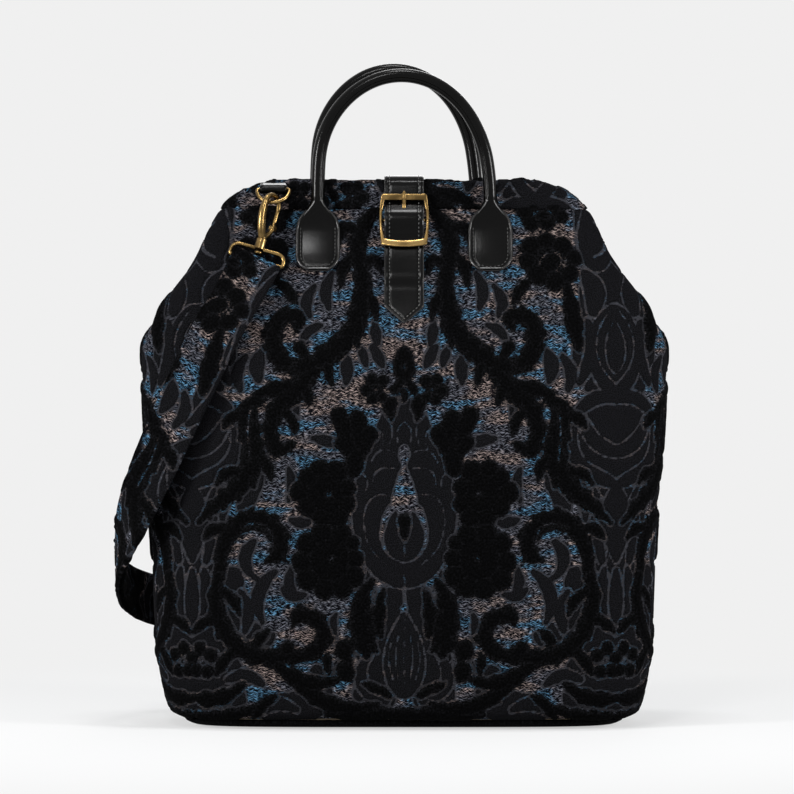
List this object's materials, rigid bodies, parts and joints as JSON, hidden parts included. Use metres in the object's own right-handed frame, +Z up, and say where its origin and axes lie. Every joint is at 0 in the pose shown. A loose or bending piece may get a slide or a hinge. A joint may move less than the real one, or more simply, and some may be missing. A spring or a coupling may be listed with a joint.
{
  "type": "convertible backpack",
  "caption": "Carpet-cloth convertible backpack with a framed mouth, rolled leather handles, a buckled closure strap and a clip-on shoulder strap.",
  "frame": {"origin": "on the floor under the middle of the base", "axes": "+Z up, the front of the bag towards -Y, X along the mouth"},
  "size_m": [0.4303, 0.1882, 0.5139],
  "materials": {
    "carpet_cloth": "black cut velvet on a mottled blue-grey twill ground",
    "black_leather": "smooth semi-gloss leather with a fine grain",
    "antique_brass": "dark antique plating worn bright on the edges",
    "frame_steel": "plain spring strip",
    "lining_cloth": "plain black woven lining",
    "board": "stiff black board"
  },
  "bodies": {
    "bag": {"front_panel": "carpet_cloth", "rear_panel": "carpet_cloth", "base_panel": "carpet_cloth", "base_board": "board", "lining": "lining_cloth", "front_frame": "frame_steel", "rear_frame": "frame_steel", "left_hinge_rivet": "frame_steel", "right_hinge_rivet": "frame_steel", "front_handle": "black_leather", "rear_handle": "black_leather", "closure_strap": "black_leather", "buckle_frame": "antique_brass", "buckle_prong": "antique_brass", "buckle_chape": "black_leather", "front_ring_tab": "black_leather", "rear_ring_tab": "black_leather", "front_casing": "carpet_cloth", "rear_casing": "carpet_cloth", "left_low_ring_tab": "black_leather", "right_low_ring_tab": "black_leather", "front_clasp_base": "antique_brass", "rear_clasp_base": "antique_brass", "shoulder_strap": "carpet_cloth"},
    "front_ring": {"front_d_ring": "antique_brass"},
    "rear_ring": {"rear_d_ring": "antique_brass"},
    "left_low_ring": {"left_low_d_ring": "antique_brass"},
    "right_low_ring": {"right_low_d_ring": "antique_brass"},
    "front_hook": {"front_clasp_hook": "antique_brass", "front_clasp_gate_pin": "antique_brass"},
    "front_gate": {"front_clasp_gate": "antique_brass"},
    "rear_hook": {"rear_clasp_hook": "antique_brass", "rear_clasp_gate_pin": "antique_brass"},
    "rear_gate": {"rear_clasp_gate": "antique_brass"}
  },
  "joints": [
    {"name": "front_ring_swing", "type": "hinge", "parent": "bag", "child": "front_ring", "pos_m": [-0.1014, -0.01529, 0.413], "axis": [1, 0, 0], "range_deg": [-4, 3]},
    {"name": "front_clasp_swivel", "type": "hinge", "parent": "bag", "child": "front_hook", "pos_m": [-0.11058, -0.03339, 0.36931], "axis": [0.2593, 0.2419, 0.935], "range_deg": [-5, 18]},
    {"name": "front_clasp_gate", "type": "hinge", "parent": "front_hook", "child": "front_gate", "pos_m": [-0.10149, -0.02269, 0.38229], "axis": [-0.7992, 0.5974, 0.0671], "range_deg": [-38, 0], "stiffness_Nm_per_rad": 0.01, "springref_deg": 5.73},
    {"name": "rear_ring_swing", "type": "hinge", "parent": "bag", "child": "rear_ring", "pos_m": [0.1014, 0.01529, 0.413], "axis": [-1, 0, 0], "range_deg": [-4, 3]},
    {"name": "rear_clasp_swivel", "type": "hinge", "parent": "bag", "child": "rear_hook", "pos_m": [0.09781, 0.03339, 0.36825], "axis": [0.1014, -0.2419, 0.965], "range_deg": [-5, 18]},
    {"name": "rear_clasp_gate", "type": "hinge", "parent": "rear_hook", "child": "rear_gate", "pos_m": [0.0941, 0.02269, 0.38366], "axis": [0.7681, -0.5974, -0.2305], "range_deg": [-38, 0], "stiffness_Nm_per_rad": 0.01, "springref_deg": 5.73},
    {"name": "left_low_ring_swing", "type": "hinge", "parent": "bag", "child": "left_low_ring", "pos_m": [-0.1205, 0.0772, 0.04], "axis": [0.9919, 0.1271, 0], "range_deg": [-8, 150]},
    {"name": "right_low_ring_swing", "type": "hinge", "parent": "bag", "child": "right_low_ring", "pos_m": [0.1205, 0.0772, 0.04], "axis": [0.9919, -0.1271, 0], "range_deg": [-8, 150]}
  ]
}
